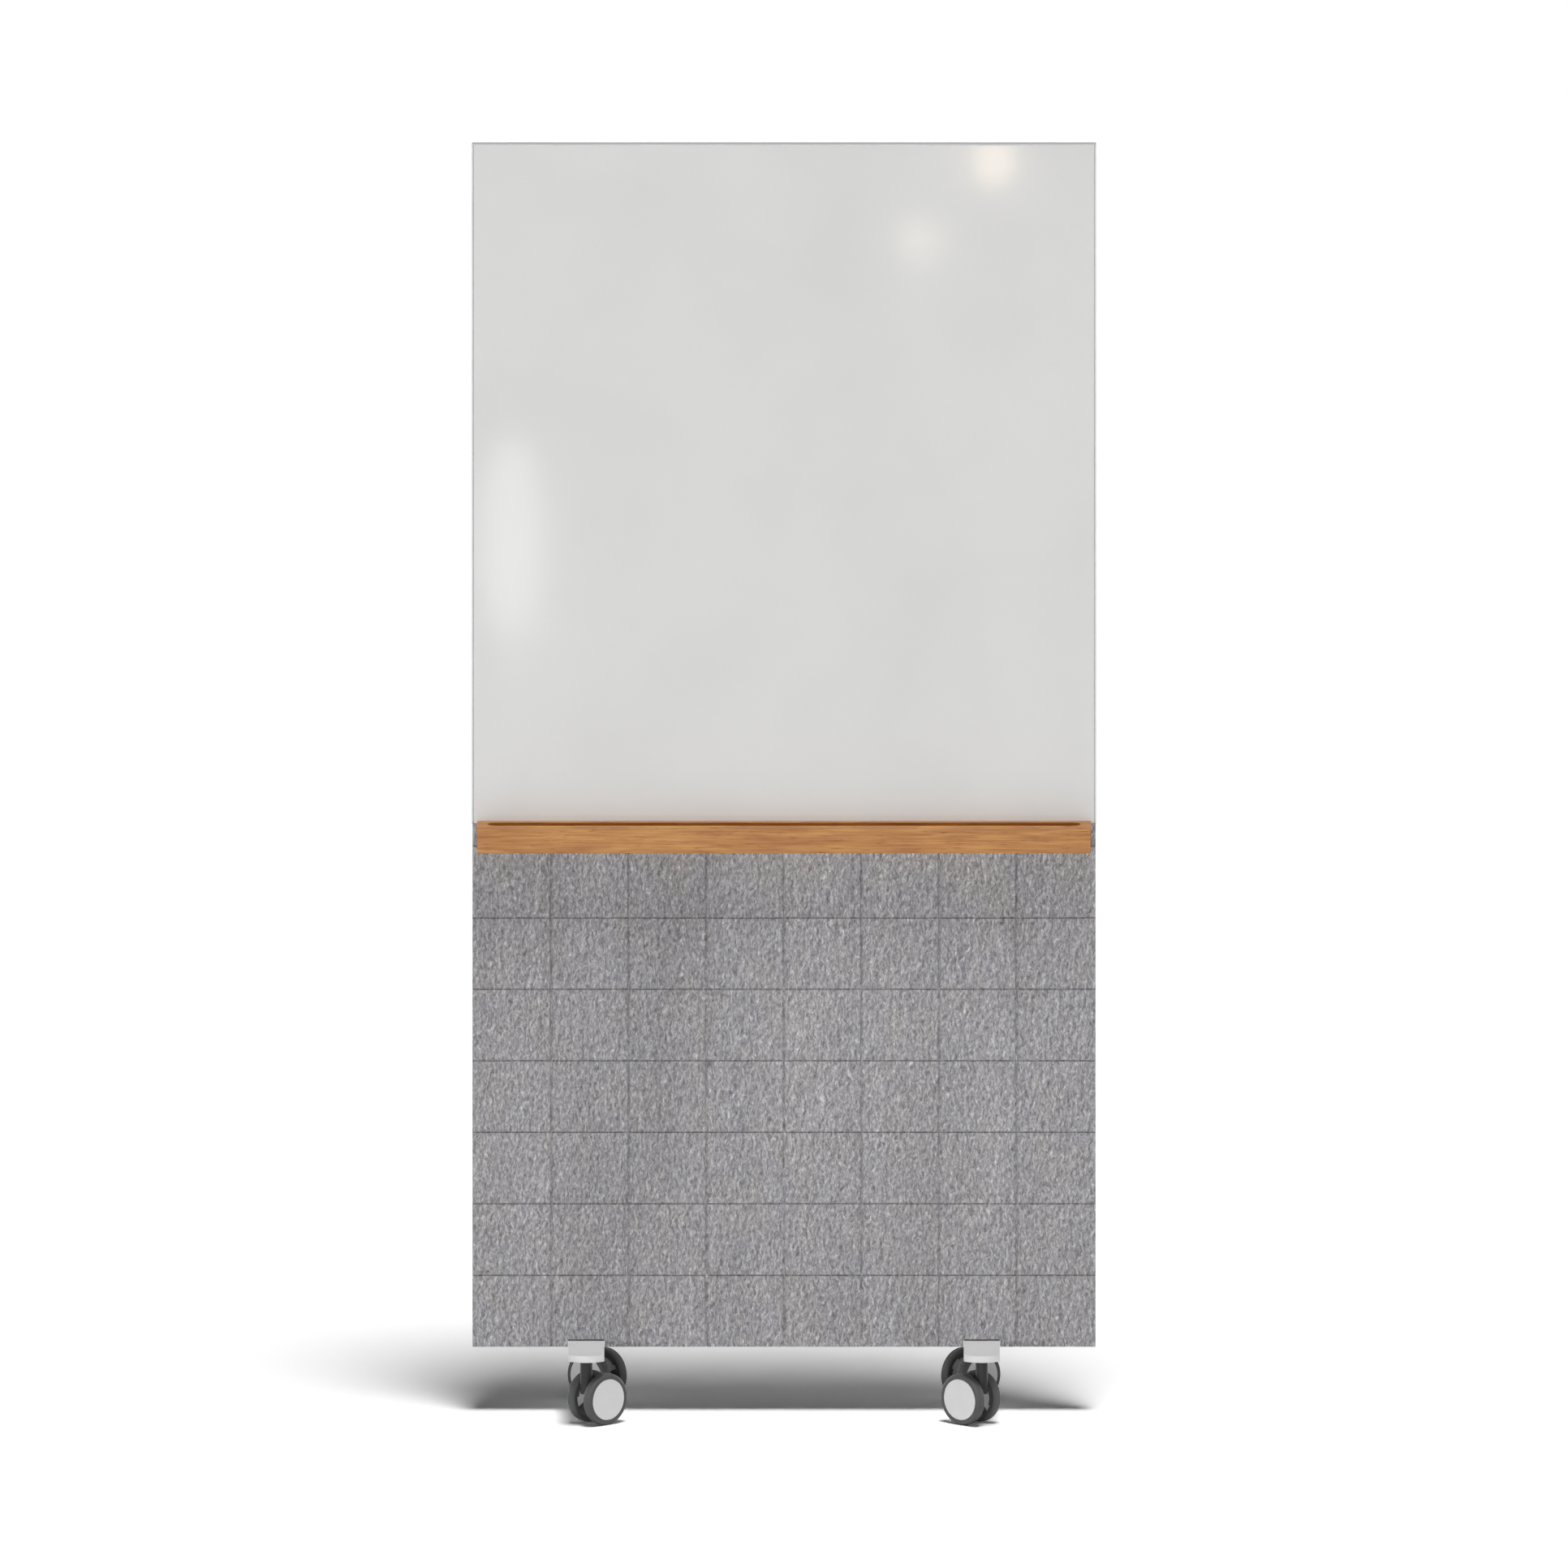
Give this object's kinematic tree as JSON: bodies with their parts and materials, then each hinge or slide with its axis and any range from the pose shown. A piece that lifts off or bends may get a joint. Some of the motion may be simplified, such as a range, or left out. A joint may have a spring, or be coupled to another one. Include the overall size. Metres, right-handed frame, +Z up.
{
  "type": "mobile whiteboard",
  "caption": "Free-standing mobile whiteboard: glossy writing board above a grooved felt panel, oak pen ledge, foot plates on twin-wheel castors.",
  "frame": {"origin": "on the floor, under the middle of the panel", "axes": "+Z up, +X to the right as seen from the front, -Y towards the front, where the pen ledge is"},
  "size_m": [0.9, 0.258, 1.8612],
  "materials": {
    "gloss_board": "gloss",
    "edge_trim": "satin",
    "felt": "matte",
    "oak": "satin",
    "frame_bar": "satin",
    "core_board": "matte",
    "foot_enamel": "satin",
    "steel": "satin",
    "stem_steel": "satin",
    "castor_nylon": "satin",
    "tyre_rubber": "matte",
    "hub_plastic": "satin",
    "cover_plastic": "satin"
  },
  "bodies": {
    "panel": {"left_stile": "frame_bar", "right_stile": "frame_bar", "top_rail": "frame_bar", "mid_rail": "frame_bar", "bottom_rail": "frame_bar", "upper_core": "core_board", "lower_core": "core_board", "front_board": "gloss_board", "rear_board": "gloss_board", "front_felt": "felt", "rear_felt": "felt", "edge_trim_top": "edge_trim", "edge_trim_left": "edge_trim", "edge_trim_right": "edge_trim", "pen_ledge": "oak", "ledge_screw_left": "steel", "ledge_screw_middle": "steel", "ledge_screw_right": "steel", "left_foot_plate": "foot_enamel", "right_foot_plate": "foot_enamel", "left_foot_bolt_1": "steel", "left_foot_bolt_2": "steel", "right_foot_bolt_1": "steel", "right_foot_bolt_2": "steel", "front_left_castor_stem": "stem_steel", "front_right_castor_stem": "stem_steel", "rear_left_castor_stem": "stem_steel", "rear_right_castor_stem": "stem_steel"},
    "front_left_swivel": {"front_left_castor_body": "castor_nylon", "front_left_castor_axle": "steel"},
    "front_left_right_wheel": {"front_left_castor_right_tyre": "tyre_rubber", "front_left_castor_right_hub": "hub_plastic", "front_left_castor_right_cover": "cover_plastic"},
    "front_left_left_wheel": {"front_left_castor_left_tyre": "tyre_rubber", "front_left_castor_left_hub": "hub_plastic", "front_left_castor_left_cover": "cover_plastic"},
    "front_right_swivel": {"front_right_castor_body": "castor_nylon", "front_right_castor_axle": "steel"},
    "front_right_right_wheel": {"front_right_castor_right_tyre": "tyre_rubber", "front_right_castor_right_hub": "hub_plastic", "front_right_castor_right_cover": "cover_plastic"},
    "front_right_left_wheel": {"front_right_castor_left_tyre": "tyre_rubber", "front_right_castor_left_hub": "hub_plastic", "front_right_castor_left_cover": "cover_plastic"},
    "rear_left_swivel": {"rear_left_castor_body": "castor_nylon", "rear_left_castor_axle": "steel"},
    "rear_left_right_wheel": {"rear_left_castor_right_tyre": "tyre_rubber", "rear_left_castor_right_hub": "hub_plastic", "rear_left_castor_right_cover": "cover_plastic"},
    "rear_left_left_wheel": {"rear_left_castor_left_tyre": "tyre_rubber", "rear_left_castor_left_hub": "hub_plastic", "rear_left_castor_left_cover": "cover_plastic"},
    "rear_right_swivel": {"rear_right_castor_body": "castor_nylon", "rear_right_castor_axle": "steel"},
    "rear_right_right_wheel": {"rear_right_castor_right_tyre": "tyre_rubber", "rear_right_castor_right_hub": "hub_plastic", "rear_right_castor_right_cover": "cover_plastic"},
    "rear_right_left_wheel": {"rear_right_castor_left_tyre": "tyre_rubber", "rear_right_castor_left_hub": "hub_plastic", "rear_right_castor_left_cover": "cover_plastic"}
  },
  "joints": [
    {"name": "front_left_castor_swivel", "type": "hinge", "parent": "panel", "child": "front_left_swivel", "pos_m": [-0.285, -0.1, 0.0765], "axis": [0, 0, 1], "continuous": true},
    {"name": "front_left_castor_right_wheel_spin", "type": "hinge", "parent": "front_left_swivel", "child": "front_left_right_wheel", "pos_m": [-0.26915, -0.08622, 0.0375], "axis": [-0.6561, 0.7547, 0], "continuous": true},
    {"name": "front_left_castor_left_wheel_spin", "type": "hinge", "parent": "front_left_swivel", "child": "front_left_left_wheel", "pos_m": [-0.26915, -0.08622, 0.0375], "axis": [-0.6561, 0.7547, 0], "continuous": true},
    {"name": "front_right_castor_swivel", "type": "hinge", "parent": "panel", "child": "front_right_swivel", "pos_m": [0.285, -0.1, 0.0765], "axis": [0, 0, 1], "continuous": true},
    {"name": "front_right_castor_right_wheel_spin", "type": "hinge", "parent": "front_right_swivel", "child": "front_right_right_wheel", "pos_m": [0.26915, -0.08622, 0.0375], "axis": [-0.6561, -0.7547, 0], "continuous": true},
    {"name": "front_right_castor_left_wheel_spin", "type": "hinge", "parent": "front_right_swivel", "child": "front_right_left_wheel", "pos_m": [0.26915, -0.08622, 0.0375], "axis": [-0.6561, -0.7547, 0], "continuous": true},
    {"name": "rear_left_castor_swivel", "type": "hinge", "parent": "panel", "child": "rear_left_swivel", "pos_m": [-0.285, 0.1, 0.0765], "axis": [0, 0, 1], "continuous": true},
    {"name": "rear_left_castor_right_wheel_spin", "type": "hinge", "parent": "rear_left_swivel", "child": "rear_left_right_wheel", "pos_m": [-0.26915, 0.08622, 0.0375], "axis": [0.6561, 0.7547, 0], "continuous": true},
    {"name": "rear_left_castor_left_wheel_spin", "type": "hinge", "parent": "rear_left_swivel", "child": "rear_left_left_wheel", "pos_m": [-0.26915, 0.08622, 0.0375], "axis": [0.6561, 0.7547, 0], "continuous": true},
    {"name": "rear_right_castor_swivel", "type": "hinge", "parent": "panel", "child": "rear_right_swivel", "pos_m": [0.285, 0.1, 0.0765], "axis": [0, 0, 1], "continuous": true},
    {"name": "rear_right_castor_right_wheel_spin", "type": "hinge", "parent": "rear_right_swivel", "child": "rear_right_right_wheel", "pos_m": [0.26915, 0.08622, 0.0375], "axis": [0.6561, -0.7547, 0], "continuous": true},
    {"name": "rear_right_castor_left_wheel_spin", "type": "hinge", "parent": "rear_right_swivel", "child": "rear_right_left_wheel", "pos_m": [0.26915, 0.08622, 0.0375], "axis": [0.6561, -0.7547, 0], "continuous": true}
  ]
}
